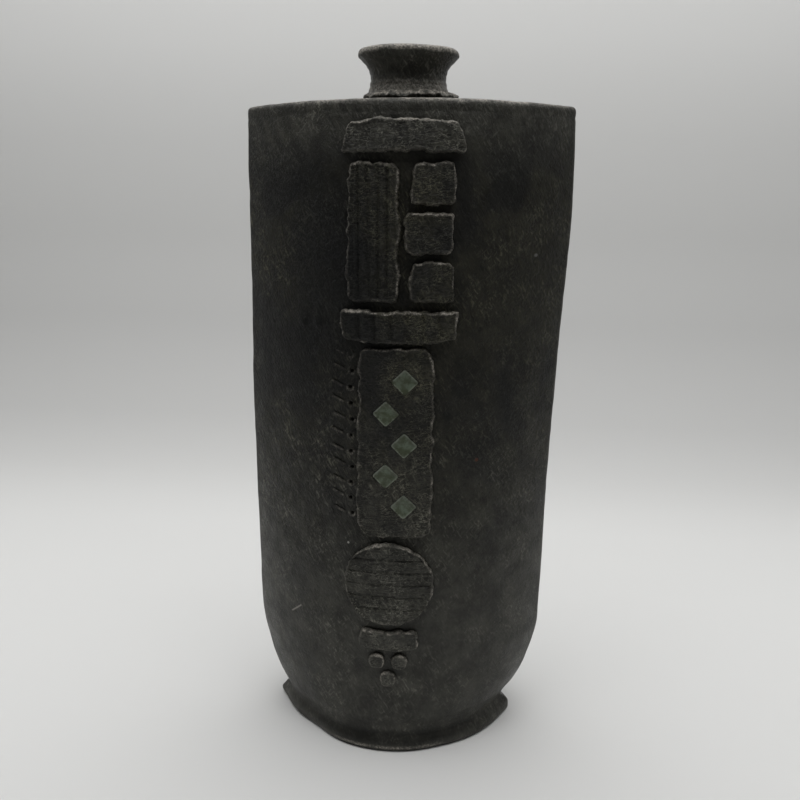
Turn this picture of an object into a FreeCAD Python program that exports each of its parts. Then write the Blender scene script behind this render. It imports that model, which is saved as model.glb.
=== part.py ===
import FreeCAD, Part
import functools
import math
import os

# A slab-built stoneware bottle vase: two curved slabs pinched together at the sides, a crowned top slab,
# a thrown neck, and a column of torn and combed clay patches luted to the front.
# Millimetres. The origin is on the ground under the body, +Z is up and the front faces -Y.

# Body
BODY_H = 326.5        # ground to the top edge at the side seams
BODY_W = 156.6        # seam to seam
BODY_D = 88.0         # front to back, low on the belly
WALL = 7.0            # slab thickness, front and back
SEAM_WALL = 12.0      # clay behind each side seam
FLOOR_T = 9.0
TOP_T = 7.0
TOP_EDGE_R = 2.2      # round along the edge of the top slab
CROWN_RISE = 2.7      # rise of the top slab from its edge to the neck
CROWN_IN = BODY_D / 2 - 17.0  # how far in from the edge it stops rising, short of the middle of the depth
EDGE_STEPS = 2
CROWN_STEPS = 3
SECTION_CHANGE = 4.5  # most that neighbouring sections of the slabs differ in half width or half depth
PLAIN_CHANGE = 12.0   # the same for the plainer inside and for the faces of the patches
RELIEF_ZONE = 31.0    # half width of the middle arc of the front, which carries the relief

# Foot
FOOT_FLANGE_T = 5.5   # height of the squeezed-out rim round the foot
FOOT_TUCK_T = 4.0     # height of the hollow above it
NOTCH_IN = 16.6       # how far in the hollow is cut from the widest part, at each side
FLANGE_OUT = 3.4      # how far the rim sticks out past the hollow at the seams
EAR_OUT = 3.8         # how far the pinched seam ends stick out past the hollow
EAR_H = 7.5           # height of the pinched ends
EAR_D = 38.0          # front to back of the fin that the two slabs make where they are pinched
FOOT_FORWARD = 2.0    # the foot stands this far in front of the body's middle
FOOT_TWIST = 1.8      # and is turned by this many degrees, clockwise seen from above
SETTLE_H = 60.0       # both die out by this height

# Neck, thrown and set on the top slab a little right of the middle
NECK_X = 4.6
NECK_BORE_R = 14.0
NECK_H = 22.5         # top slab to the top of the lip
LIP_R = 23.5
LIP_T = 4.6
LIP_FLAT = 3.0        # from the widest part of the lip in to its flat top
WAIST_R = 17.6
WAIST_STEPS = 3
NECK_ROOT_R = 20.4
SKIRT_R = 22.0        # torn ring of clay that beds the neck
SKIRT_T = 1.5
SKIRT_WAVES = 11
SKIRT_WAVE = 0.6
SKIRT_STEPS = 33

# Relief column, luted on the front
PATCH_BACK = -0.22 * BODY_D  # plane inside the vase that patches start from, before it is hollowed
TEAR_STEP = 7.5       # between the points of a torn outline
TEAR = 0.5            # how far they stray from a straight edge
COLUMN_X_TOP = 6.0    # middle of the column at the top and at the foot: it leans a little
COLUMN_X_FOOT = 0.0
TOP_MARGIN = 8.0      # top edge down to the first patch
FOOT_MARGIN = 40.0    # ground up to the last pellet
GAP = 3.2             # between neighbouring patches
LINTEL_W, LINTEL_H, LINTEL_T = 56.0, 14.0, 3.2
PANEL_W, PANEL_H, PANEL_T = 25.0, 62.0, 2.2
PAD_W, PAD_T, PAD_COUNT = 21.0, 2.8, 3
BAND_W, BAND_H, BAND_T = 52.0, 15.0, 3.0
STRIP_W, STRIP_T = 37.0, 2.0
ROUNDEL_R, ROUNDEL_T = 22.0, 3.4
BAR_W, BAR_H, BAR_T = 31.0, 11.0, 2.6
PELLET_R, PELLET_T = 4.2, 2.4
COMB_W, COMB_DEPTH = 1.3, 0.7
COMB_MARGIN = 1.5     # plain clay beside the outer grooves
COMB_END = 2.0        # plain clay past the ends of a groove
PANEL_COMBS, BAND_COMBS, ROUNDEL_COMBS = 4, 6, 5
WELL_R = 6.6          # half diagonal of a lozenge well
WELL_BLUNT = 11.0     # degrees by which its corners are blunted to each side
WELL_DEPTH = 1.0
WELL_PITCH = 15.6
WELL_STAGGER = 4.4    # wells step left and right of the strip's middle
PRICK_R = 0.9
PRICK_DEPTH = 1.5
PRICK_PITCH = 8.0
PRICK_GAP = 3.0       # strip's left edge to the row of pricked holes


def body_rows():
    """Height, shift of the middle, half width, half depth and seam radius, from the ground up."""
    half_w = BODY_W / 2
    half_d = BODY_D / 2
    tuck = FOOT_FLANGE_T + FOOT_TUCK_T
    low_belly = 60.0
    shoulder = BODY_H - 112.0
    notch_w = half_w - NOTCH_IN
    return [
        (0.0, 0.5, notch_w + FLANGE_OUT - 1.4, half_d - 0.3, 1.6),
        (FOOT_FLANGE_T * 0.4, 0.5, notch_w + FLANGE_OUT, half_d + 1.0, 1.6),
        (FOOT_FLANGE_T, 0.4, notch_w + FLANGE_OUT - 0.4, half_d + 0.5, 1.8),
        (tuck, 0.0, notch_w, half_d - 1.6, 2.2),
        (tuck + 4.0, 0.0, notch_w + 2.0, half_d - 1.5, 3.0),
        (tuck + 11.0, 0.7, half_w - 10.6, half_d - 0.3, 4.0),
        (tuck + 25.0, 1.8, half_w - 5.4, half_d, 5.0),
        (low_belly, 2.3, half_w - 0.6, half_d - 0.5, 5.5),
        ((low_belly + shoulder) / 2, 2.5, half_w + 0.2, half_d - 3.6, 5.5),
        (shoulder, 3.6, half_w + 0.3, half_d - 6.2, 5.0),
        (BODY_H - 42.0, 5.4, half_w + 0.9, half_d - 8.8, 4.5),
        (BODY_H, 5.2, half_w - 0.1, half_d - 10.5, 4.0),
    ]


def ear_rows():
    """The same for the fin that sticks out of both sides at the foot."""
    half_w = BODY_W / 2 - NOTCH_IN
    return [
        (0.0, 0.7, half_w + EAR_OUT - 1.0, EAR_D / 2 - 2.0, 1.6),
        (EAR_H * 0.35, 0.7, half_w + EAR_OUT, EAR_D / 2, 2.0),
        (EAR_H * 0.75, 0.8, half_w + EAR_OUT - 0.4, EAR_D / 2 - 2.0, 2.0),
        (EAR_H, 1.0, half_w + EAR_OUT - 2.6, EAR_D / 2 - 6.0, 1.4),
    ]


def slope_at(low, high, gap_low, gap_high):
    """Slope of a smooth curve at a row, from the slopes before and after it, that never overshoots."""
    if low * high <= 0:
        return 0.0
    first = 2 * gap_high + gap_low
    second = gap_high + 2 * gap_low
    return (first + second) / (first / low + second / high)


def row_at(height):
    """The body's row at any height, on a smooth curve through the given rows."""
    rows = body_rows()
    last = len(rows) - 2
    i = min(max(sum(1 for row in rows if row[0] <= height) - 1, 0), last)
    gaps = [rows[j + 1][0] - rows[j][0] for j in range(last + 1)]
    u = (height - rows[i][0]) / gaps[i]
    values = [height]
    for column in range(1, len(rows[0])):
        rises = [(rows[j + 1][column] - rows[j][column]) / gaps[j] for j in range(last + 1)]
        start = slope_at(rises[i - 1], rises[i], gaps[i - 1], gaps[i]) if i > 0 else rises[0]
        end = slope_at(rises[i], rises[i + 1], gaps[i], gaps[i + 1]) if i < last else rises[last]
        a, b = rows[i][column], rows[i + 1][column]
        values.append(
            a * (1 + 2 * u) * (1 - u) ** 2 + b * u * u * (3 - 2 * u)
            + gaps[i] * (start * u * (1 - u) ** 2 - end * u * u * (1 - u))
        )
    return values


def face_circle(half_w, half_d, seam_r):
    """Radius of the arc of the front or back face, which the rounded seams meet smoothly."""
    return ((half_w - seam_r) ** 2 + half_d ** 2 - seam_r ** 2) / (2 * (half_d - seam_r))


def lens_wire(row, grow=(0.0, 0.0)):
    """A section, larger or smaller all round: a front in three arcs of one circle, two seams and a back."""
    height, shift, half_w, half_d, seam_r = row
    half_w = half_w + grow[0]
    half_d = half_d + grow[1]
    radius = face_circle(half_w, half_d, seam_r)
    reach = radius / (radius - seam_r)
    x = (half_w - seam_r) * reach
    y = (radius - half_d) * (reach - 1)

    def at(across, back):
        return FreeCAD.Vector(shift + across, back, height)

    def front_arc(start, end):
        places = (start, (start + end) / 2, end)
        return Part.Arc(*[at(v, radius - half_d - math.sqrt(radius ** 2 - v ** 2)) for v in places]).toShape()

    wire = Part.Wire([
        front_arc(-x, -RELIEF_ZONE),
        front_arc(-RELIEF_ZONE, RELIEF_ZONE),
        front_arc(RELIEF_ZONE, x),
        Part.Arc(at(x, -y), at(half_w, 0), at(x, y)).toShape(),
        Part.Arc(at(x, y), at(0, half_d), at(-x, y)).toShape(),
        Part.Arc(at(-x, y), at(-half_w, 0), at(-x, -y)).toShape(),
    ])
    settle = max(0.0, 1 - height / SETTLE_H) ** 2
    wire.rotate(FreeCAD.Vector(shift, 0, 0), FreeCAD.Vector(0, 0, 1), -FOOT_TWIST * settle)
    wire.translate(FreeCAD.Vector(0, -FOOT_FORWARD * settle, 0))
    return wire


def levels(low, high, change):
    """Heights of the sections between two heights: the body's rows, and more where its outline curves."""
    stops = [low] + [row[0] for row in body_rows() if low + 1.0 < row[0] < high - 1.0] + [high]
    heights = []
    for start, end in zip(stops, stops[1:]):
        changes = [abs(a - b) for a, b in zip(row_at(start)[2:4], row_at(end)[2:4])]
        parts = max(1, math.ceil(max(changes) / change))
        heights += [start + (end - start) * i / parts for i in range(parts)]
    return heights + [high]


def slab_wires(low, high, grow, change):
    return [lens_wire(row_at(height), grow) for height in levels(low, high, change)]


@functools.lru_cache
def raised_body(level):
    """The body with its faces raised by a patch's thickness, or sunk by a groove's depth."""
    return Part.makeLoft(slab_wires(FOOT_FLANGE_T, BODY_H, (level, level), PLAIN_CHANGE), True, True)


def crown_wires():
    """Sections of the rounded top edge, and of the top slab as it rises in a pillow towards the neck."""
    edge = row_at(BODY_H)
    wires = []
    for i in range(1, EDGE_STEPS + 1):
        turn = math.pi / 2 * i / EDGE_STEPS
        drop = TOP_EDGE_R * (1 - math.sin(turn))
        inset = TOP_EDGE_R * (1 - math.cos(turn))
        wires.append(lens_wire([edge[0] - drop] + edge[1:], (-inset, -inset)))
    for i in range(1, CROWN_STEPS + 1):
        part = i / CROWN_STEPS
        inset = TOP_EDGE_R + (CROWN_IN - TOP_EDGE_R) * part
        rise = CROWN_RISE * math.sin(math.pi / 2 * part)
        wires.append(lens_wire([edge[0] + rise] + edge[1:], (-inset, -inset)))
    return wires


def closed_polygon(points):
    return Part.makePolygon(points + points[:1])


def beside_neck(radius, height):
    """A point right of the neck's axis."""
    return FreeCAD.Vector(NECK_X + radius, 0, height)


def turned(points):
    """A solid of revolution about the neck's axis, from an outline on its right."""
    face = Part.Face(closed_polygon(points))
    return face.revolve(FreeCAD.Vector(NECK_X, 0, 0), FreeCAD.Vector(0, 0, 1), 360)


def slab_shell():
    """The body with its crowned top and pinched ears, before it is hollowed."""
    wires = slab_wires(0.0, BODY_H - TOP_EDGE_R, (0.0, 0.0), SECTION_CHANGE) + crown_wires()
    ears = Part.makeLoft([lens_wire(row) for row in ear_rows()], True, True)
    return Part.makeLoft(wires, True, True).fuse(ears)


def cavity():
    """The space inside: a smaller copy of the body that stops at the floor and under the top slab."""
    wires = slab_wires(FLOOR_T, BODY_H - TOP_T, (-SEAM_WALL, -WALL), PLAIN_CHANGE)
    return Part.makeLoft(wires, True, True)


def neck():
    """Outside of the thrown neck: flared root, waist and rolled lip, bedded in a torn ring of clay."""
    seat = BODY_H + CROWN_RISE
    lip = seat + NECK_H
    root = seat - TOP_T / 2

    at = beside_neck
    flare_foot = at(NECK_ROOT_R, seat)
    flare_top = at(WAIST_R + 1.7, seat + NECK_H * 0.66)
    waist = Part.Arc(flare_foot, at(WAIST_R, seat + NECK_H * 0.42), flare_top).toShape()
    profile = waist.discretize(WAIST_STEPS + 1) + [
        at(LIP_R - 1.2, lip - LIP_T * 0.9),
        at(LIP_R, lip - LIP_T * 0.5),
        at(LIP_R - 0.9, lip - LIP_T * 0.12),
        at(LIP_R - LIP_FLAT, lip),
        at(0, lip),
        at(0, root),
        at(NECK_ROOT_R, root),
    ]
    spun = turned(profile)
    ring = []
    for i in range(SKIRT_STEPS):
        turn = 2 * math.pi * i / SKIRT_STEPS
        wave = math.sin(turn * SKIRT_WAVES) + math.sin(turn * 3 + 1.0)
        reach = SKIRT_R + SKIRT_WAVE * wave
        ring.append(FreeCAD.Vector(NECK_X + reach * math.cos(turn), reach * math.sin(turn), root))
    skirt = Part.Face(closed_polygon(ring)).extrude(FreeCAD.Vector(0, 0, seat + SKIRT_T - root))
    return spun.fuse(skirt)


def bore():
    """The way in: a straight bore that opens to the rounded lip."""
    lip = BODY_H + CROWN_RISE + NECK_H
    low = BODY_H - 2 * TOP_T
    mouth = LIP_R - LIP_FLAT - 0.6
    at = beside_neck
    wall = [at(0, low), at(NECK_BORE_R, low), at(NECK_BORE_R, lip - LIP_T), at(mouth, lip), at(0, lip)]
    return turned(wall)


def outline(middle_x, low, width, height, taper=0.0, bow=0.0, wave=TEAR):
    """A torn four-sided outline on the plane behind the front, with softened corners."""
    half = width / 2
    corners = [(-half, 0.0), (half, 0.0), (half - taper, height), (-half + taper, height)]
    points = []
    count = 0
    for (x0, z0), (x1, z1) in zip(corners, corners[1:] + corners[:1]):
        length = math.hypot(x1 - x0, z1 - z0)
        parts = max(2, round(length / TEAR_STEP))
        for i in range(parts):
            u = (i + 0.5) / parts
            push = wave * math.sin(2.3 * count + width) / length
            x = x0 + (x1 - x0) * u + (z1 - z0) * push
            z = z0 + (z1 - z0) * u - (x1 - x0) * push
            rise = bow * (1 - (x / half) ** 2)
            points.append(FreeCAD.Vector(middle_x + x, 0, low + z + rise))
            count += 1
    return closed_polygon(points)


def round_outline(middle_x, middle_z, radius):
    """A hand-cut round outline on the same plane, with more flats the larger it is."""
    count = 8 + round(radius)
    turns = [2 * math.pi * i / count for i in range(count)]
    return closed_polygon([
        FreeCAD.Vector(middle_x + radius * math.cos(turn), 0, middle_z + radius * math.sin(turn))
        for turn in turns
    ])


def lozenge_outline(middle_x, middle_z, reach, blunt=0.0):
    """A square set on its corner, with sharp corners or blunted ones."""
    sides = (-blunt, blunt) if blunt else (0.0,)
    turns = [math.radians(90 * i + side) for i in range(4) for side in sides]
    return closed_polygon([
        FreeCAD.Vector(middle_x + reach * math.cos(turn), 0, middle_z + reach * math.sin(turn))
        for turn in turns
    ])


def prism(wire):
    """A block from behind the front face out past every patch, standing on the outline."""
    face = Part.Face(wire)
    face.translate(FreeCAD.Vector(0, -BODY_D, 0))
    return face.extrude(FreeCAD.Vector(0, BODY_D + PATCH_BACK, 0))


def patch(wire, thickness):
    """A patch of one thickness that lies on the curved front."""
    return prism(wire).common(raised_body(thickness))


def sunk(wire, level):
    """What is pressed out of a patch above a level over the front face."""
    return prism(wire).cut(raised_body(level))


def slot_outline(x0, z0, x1, z1, width):
    """A narrow rectangle from point to point."""
    length = math.hypot(x1 - x0, z1 - z0)
    side_x = (z1 - z0) / length * width / 2
    side_z = (x1 - x0) / length * width / 2
    return closed_polygon([
        FreeCAD.Vector(x0 - side_x, 0, z0 + side_z),
        FreeCAD.Vector(x1 - side_x, 0, z1 + side_z),
        FreeCAD.Vector(x1 + side_x, 0, z1 - side_z),
        FreeCAD.Vector(x0 + side_x, 0, z0 - side_z),
    ])


def combed(shape, level, slots):
    """The patch with grooves of one depth combed into it."""
    for slot in slots:
        shape = shape.cut(sunk(slot_outline(*slot, COMB_W), level))
    return shape


def column_x(height):
    """The middle of the relief column, which leans from the foot to the top."""
    return COLUMN_X_FOOT + (COLUMN_X_TOP - COLUMN_X_FOOT) * height / BODY_H


def across(middle, width, count):
    """Evenly spaced places across a width, clear of its edges."""
    return [middle + width * ((i + 1) / (count + 1) - 0.5) for i in range(count)]


def upper_patches():
    """Lintel, combed panel with its pads, and ridged band, stacked down from the top edge."""
    shapes = []
    low = BODY_H - TOP_MARGIN - LINTEL_H
    x = column_x(low)
    shapes.append(patch(outline(x, low, LINTEL_W, LINTEL_H, taper=4.0, bow=1.5), LINTEL_T))
    low = low - GAP - PANEL_H
    left = x - LINTEL_W / 2 + PANEL_W / 2 + 2.0
    panel = patch(outline(left, low, PANEL_W, PANEL_H, taper=1.0, wave=0.7), PANEL_T)
    places = across(left, PANEL_W - 2 * COMB_MARGIN, PANEL_COMBS)
    slots = [(at, low + COMB_END, at + 1.0, low + PANEL_H - COMB_END) for at in places]
    shapes.append(combed(panel, PANEL_T - COMB_DEPTH, slots))
    pad_h = (PANEL_H - GAP * (PAD_COUNT - 1)) / PAD_COUNT
    right = left + PANEL_W / 2 + GAP + PAD_W / 2
    for i in range(PAD_COUNT):
        pad_low = low + i * (pad_h + GAP)
        lean = 0.8 * (-1) ** i
        shapes.append(patch(outline(right + lean, pad_low, PAD_W, pad_h, taper=1.2 * lean), PAD_T))
    low = low - GAP - BAND_H
    x = column_x(low)
    band = patch(outline(x, low, BAND_W, BAND_H, taper=-1.5, bow=-1.2), BAND_T)
    places = across(x, BAND_W, BAND_COMBS)
    slots = [(at, low - COMB_END, at, low + BAND_H + COMB_END) for at in places]
    shapes.append(combed(band, BAND_T - COMB_DEPTH, slots))
    return shapes, low - GAP


def lower_patches():
    """Pellets, bar and combed roundel, stacked up from the foot."""
    shapes = []
    low = FOOT_MARGIN
    x = column_x(low)
    shapes.append(patch(round_outline(x, low + PELLET_R, PELLET_R), PELLET_T))
    low = low + 2 * PELLET_R + GAP / 2
    for side in (-1, 1):
        at = x + side * (PELLET_R + GAP / 2)
        shapes.append(patch(round_outline(at, low + PELLET_R, PELLET_R), PELLET_T))
    low = low + 2 * PELLET_R + GAP
    shapes.append(patch(outline(x, low, BAR_W, BAR_H, taper=1.5, bow=-0.8), BAR_T))
    low = low + BAR_H + GAP
    roundel = patch(round_outline(x, low + ROUNDEL_R, ROUNDEL_R), ROUNDEL_T)
    slots = []
    for at in across(low + ROUNDEL_R, 2 * (ROUNDEL_R - COMB_MARGIN), ROUNDEL_COMBS):
        reach = math.sqrt(ROUNDEL_R ** 2 - (at - low - ROUNDEL_R) ** 2) - COMB_END
        slots.append((x - reach, at, x + reach, at))
    shapes.append(combed(roundel, ROUNDEL_T - COMB_DEPTH, slots))
    return shapes, low + 2 * ROUNDEL_R + GAP


def strip(low, high):
    """The long torn strip between the two groups, with a staggered row of lozenge wells."""
    middle = column_x((low + high) / 2)
    shape = patch(outline(middle, low, STRIP_W, high - low, taper=0.8, wave=0.8), STRIP_T)
    count = max(1, int((high - low - WELL_R) / WELL_PITCH))
    first = (low + high) / 2 + WELL_PITCH * (count - 1) / 2
    for i in range(count):
        x = middle + WELL_STAGGER * (-1) ** i
        well = lozenge_outline(x, first - i * WELL_PITCH, WELL_R, WELL_BLUNT)
        shape = shape.cut(sunk(well, STRIP_T - WELL_DEPTH))
    return shape


def pricked_holes(low, high):
    """A row of holes pricked into the body along the strip's left edge."""
    x = column_x((low + high) / 2) - STRIP_W / 2 - PRICK_GAP
    holes = []
    for i in range(int((high - low) / PRICK_PITCH)):
        z = high - (i + 0.5) * PRICK_PITCH
        holes.append(sunk(lozenge_outline(x + 0.5 * math.sin(2.0 * i), z, PRICK_R), -PRICK_DEPTH))
    return holes


def vase():
    outside = slab_shell().fuse(neck())
    upper, strip_top = upper_patches()
    lower, strip_foot = lower_patches()
    outside = outside.fuse(upper + lower + [strip(strip_foot, strip_top)])
    outside = outside.cut(pricked_holes(strip_foot, strip_top))
    return outside.cut([cavity(), bore()]).Solids[0]


os.makedirs("parts", exist_ok=True)
vase().exportStep("parts/vase.step")
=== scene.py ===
import math

import bpy
import numpy as np
from mathutils import Matrix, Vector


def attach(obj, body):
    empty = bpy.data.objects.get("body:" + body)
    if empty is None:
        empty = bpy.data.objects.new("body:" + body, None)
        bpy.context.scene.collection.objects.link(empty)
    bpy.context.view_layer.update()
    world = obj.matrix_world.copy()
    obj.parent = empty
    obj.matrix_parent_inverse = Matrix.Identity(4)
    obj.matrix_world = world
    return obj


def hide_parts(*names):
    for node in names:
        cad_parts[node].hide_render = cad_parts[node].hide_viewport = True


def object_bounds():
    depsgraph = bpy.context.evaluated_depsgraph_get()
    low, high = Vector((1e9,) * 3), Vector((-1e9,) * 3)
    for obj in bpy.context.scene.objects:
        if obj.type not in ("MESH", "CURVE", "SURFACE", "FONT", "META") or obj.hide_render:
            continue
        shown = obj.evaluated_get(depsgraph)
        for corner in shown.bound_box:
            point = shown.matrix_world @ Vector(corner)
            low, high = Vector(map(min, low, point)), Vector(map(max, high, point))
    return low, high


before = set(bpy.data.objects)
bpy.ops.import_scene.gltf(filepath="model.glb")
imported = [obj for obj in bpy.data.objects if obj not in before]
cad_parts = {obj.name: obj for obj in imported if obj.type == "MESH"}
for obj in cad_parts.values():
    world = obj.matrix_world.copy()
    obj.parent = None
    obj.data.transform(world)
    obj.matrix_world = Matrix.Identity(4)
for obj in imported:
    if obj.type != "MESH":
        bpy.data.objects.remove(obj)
CAD_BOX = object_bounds()

# Sizes are in millimetres until a mesh is made.
# The origin is on the ground under the body, and the front faces -Y.
MM = 0.001
NODE = "vase"

# Body and foot
CROWN_RISE = 2.7         # rise of the top slab from its edge to the neck
NECK_H = 22.5            # top slab to the top of the lip
BODY_H = 351.7 - NECK_H - CROWN_RISE
BODY_W = 156.6
BODY_D = 88.0
TOP_EDGE_R = 2.2
TOP_ARCH = 1.8           # the top edge is this much higher in the middle of the front and back
TOP_TILT = 0.3           # and this much higher at its right end, and lower at its left
FLANGE_T = 5.5           # height of the squeezed-out rim round the foot
TUCK_Z = 9.5             # height of the hollow above it
FLANGE_OUT = 3.4         # how far the rim sticks out past the hollow at the seams
NOTCH_IN = 16.6          # how far in the hollow is cut from the widest part
EAR_OUT = {-1: 1.7, 1: 0.6}  # pinched seam ends past the rim of the foot, left and right
EAR_H = {-1: 4.8, 1: 7.6}    # and how high they stand
EAR_SPREAD = 5.2         # and how far they spread to the front and back
FOOT_FORWARD = 2.0       # the foot stands this far in front of the body's middle
FOOT_TWIST = 1.8         # and is turned by this many degrees
SETTLE_H = 60.0          # both die out by this height
# Dents in the front of the foot, as across, reach and depth, and the height where they end
PRESSED = [(-41.0, 11.0, 3.2), (30.0, 14.0, 1.2)]
PRESSED_H = 32.0
WALL = 7.0
SEAM_WALL = 12.0
FLOOR_T = 9.0
TOP_T = 7.0

# Neck
NECK_X = 4.6
BORE_R = 14.0
LIP_R = 23.5
WAIST_R = 17.6
ROOT_R = 20.4

# Relief column
COLUMN_X_TOP = 6.0
COLUMN_X_FOOT = 0.0
TOP_MARGIN = 8.0
FOOT_MARGIN = 40.0
GAP = 3.2
LINTEL = (56.0, 14.0, 3.2)  # width, height and thickness, as for the panel, the band and the bar
PANEL = (25.0, 62.0, 2.2)
PAD_W, PAD_T, PAD_COUNT = 21.0, 2.8, 3
BAND = (52.0, 15.0, 3.0)
STRIP_W, STRIP_T = 37.0, 2.0
ROUNDEL_R, ROUNDEL_T = 22.0, 3.4
BAR = (31.0, 11.0, 2.6)
PELLET_R, PELLET_T = 4.2, 2.4
COMB_DEPTH = 0.7
WELL_R = 6.6
WELL_DEPTH = 1.0
WELL_PITCH = 15.6
WELL_STAGGER = 4.4
PRICK_R = 0.9
PRICK_PITCH = 8.0
PRICK_GAP = 3.0
# Rings down a patch's side: how far out, at what share of the thickness, and how much lower
PATCH_SIDE = [(0.10, 0.34, 0.0), (-0.25, 0.10, 0.0), (-0.55, 0.0, -0.35), (-0.8, 0.0, -1.4)]
MARGIN_W = 17.0
MARGIN_LAP = 1.8         # the margin's skin lies over the body's by this much

# Mesh spacing
FRONT_POINTS = 168
SEAM_POINTS = 12
BACK_POINTS = 92
ROW_STEP = 1.08
EDGE_STEPS = 6
TOP_STEPS = 26
NECK_POINTS = 264
NECK_STEP = 0.55
SKIRT_POINTS = 300
CELL = 0.38              # of a patch
MARGIN_CELL = 0.3


# Repeatable noise

def lattice(ix, iy, iz, seed):
    """A repeatable number from -1 to 1 for each corner of a lattice."""
    n = (ix * 374761393 + iy * 668265263 + iz * 1442695041 + seed * 974634777) & 0xFFFFFFFF
    n = ((n ^ (n >> 13)) * 1274126177) & 0xFFFFFFFF
    n = n ^ (n >> 16)
    return (n & 0xFFFF) / 32767.5 - 1.0


def noise(points, size, seed):
    """Smooth noise from -1 to 1 at points, with lumps of a size, which may differ by axis."""
    p = np.asarray(points, float) / np.asarray(size, float)
    cell = np.floor(p).astype(np.int64)
    f = p - cell
    f = f * f * f * (f * (f * 6 - 15) + 10)
    total = 0.0
    for dx in (0, 1):
        for dy in (0, 1):
            for dz in (0, 1):
                weight = (
                    (f[..., 0] if dx else 1 - f[..., 0])
                    * (f[..., 1] if dy else 1 - f[..., 1])
                    * (f[..., 2] if dz else 1 - f[..., 2])
                )
                corner = lattice(cell[..., 0] + dx, cell[..., 1] + dy, cell[..., 2] + dz, seed)
                total = total + weight * corner
    return total


def fractal(points, size, octaves, seed):
    total = 0.0
    scale = 1.0
    for i in range(octaves):
        total = total + scale * noise(points, np.asarray(size, float) / 2 ** i, seed + 17 * i)
        scale *= 0.5
    return total


def smooth_step(low, high, value):
    t = np.clip((value - low) / (high - low), 0, 1)
    return t * t * (3 - 2 * t)


# The slab-built form

def body_rows():
    """Height, shift of the middle, half width, half depth and seam radius, from the ground up."""
    half_w = BODY_W / 2
    half_d = BODY_D / 2
    low_belly = 60.0
    shoulder = BODY_H - 112.0
    notch_w = half_w - NOTCH_IN
    return np.array([
        (0.0, 0.5, notch_w + FLANGE_OUT - 1.4, half_d - 0.3, 1.6),
        (FLANGE_T * 0.4, 0.5, notch_w + FLANGE_OUT, half_d + 1.0, 1.6),
        (FLANGE_T, 0.4, notch_w + FLANGE_OUT - 0.4, half_d + 0.5, 1.8),
        (TUCK_Z, 0.0, notch_w, half_d - 1.6, 2.2),
        (TUCK_Z + 4.0, 0.0, notch_w + 2.0, half_d - 1.5, 3.0),
        (TUCK_Z + 11.0, 0.7, half_w - 10.6, half_d - 0.3, 4.0),
        (TUCK_Z + 25.0, 1.8, half_w - 5.4, half_d, 5.0),
        (low_belly, 2.3, half_w - 0.6, half_d - 0.5, 5.5),
        ((low_belly + shoulder) / 2, 2.1, half_w + 0.1, half_d - 3.6, 5.5),
        (shoulder, 3.6, half_w + 0.3, half_d - 6.2, 5.0),
        (BODY_H - 42.0, 5.4, half_w + 0.9, half_d - 8.8, 4.5),
        (BODY_H, 5.2, half_w - 0.1, half_d - 10.5, 4.0),
    ])


def smooth_curve(heights, values, at):
    """A smooth curve through values that never overshoots them."""
    gaps = np.diff(heights)
    rises = np.diff(values) / gaps
    slopes = np.concatenate([rises[:1], np.zeros(len(rises) - 1), rises[-1:]])
    for i in range(1, len(rises)):
        if rises[i - 1] * rises[i] > 0:
            first = 2 * gaps[i] + gaps[i - 1]
            second = gaps[i] + 2 * gaps[i - 1]
            slopes[i] = (first + second) / (first / rises[i - 1] + second / rises[i])
    i = np.clip(np.searchsorted(heights, at, side="right") - 1, 0, len(gaps) - 1)
    u = (at - heights[i]) / gaps[i]
    return (
        values[i] * (1 + 2 * u) * (1 - u) ** 2 + values[i + 1] * u * u * (3 - 2 * u)
        + gaps[i] * (slopes[i] * u * (1 - u) ** 2 - slopes[i + 1] * u * u * (1 - u))
    )


ROWS = body_rows()


def row_at(z):
    """Shift, half width, half depth and seam radius at heights."""
    z = np.clip(np.asarray(z, float), 0.0, BODY_H)
    return [smooth_curve(ROWS[:, 0], ROWS[:, i], z) for i in range(1, 5)]


def settled(points):
    """The foot is turned and set forward a little, less and less up to a height."""
    x, y, z = points[..., 0], points[..., 1], points[..., 2]
    shift = row_at(z)[0]
    share = np.clip(1 - z / SETTLE_H, 0, 1) ** 2
    turn = -math.radians(FOOT_TWIST) * share
    away = x - shift
    pressed = sum(depth * np.exp(-((x - at) / reach) ** 2) for at, reach, depth in PRESSED)
    pressed = pressed * np.clip(1 - z / PRESSED_H, 0, 1) ** 2 * smooth_step(0.0, 18.0, -y)
    return np.stack([
        shift + away * np.cos(turn) - y * np.sin(turn),
        away * np.sin(turn) + y * np.cos(turn) - FOOT_FORWARD * share + pressed,
        z,
    ], -1)


def top_lift(across):
    """How much higher the top edge stands at a place from -1, the left seam, to 1, the right."""
    across = np.clip(across, -1, 1)
    return TOP_ARCH * (1 - across ** 2) + TOP_TILT * across


def face_circle(half_w, half_d, seam_r):
    """Radius of the arc of the front or back face, which the rounded seams meet smoothly."""
    return ((half_w - seam_r) ** 2 + half_d ** 2 - seam_r ** 2) / (2 * (half_d - seam_r))


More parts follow.
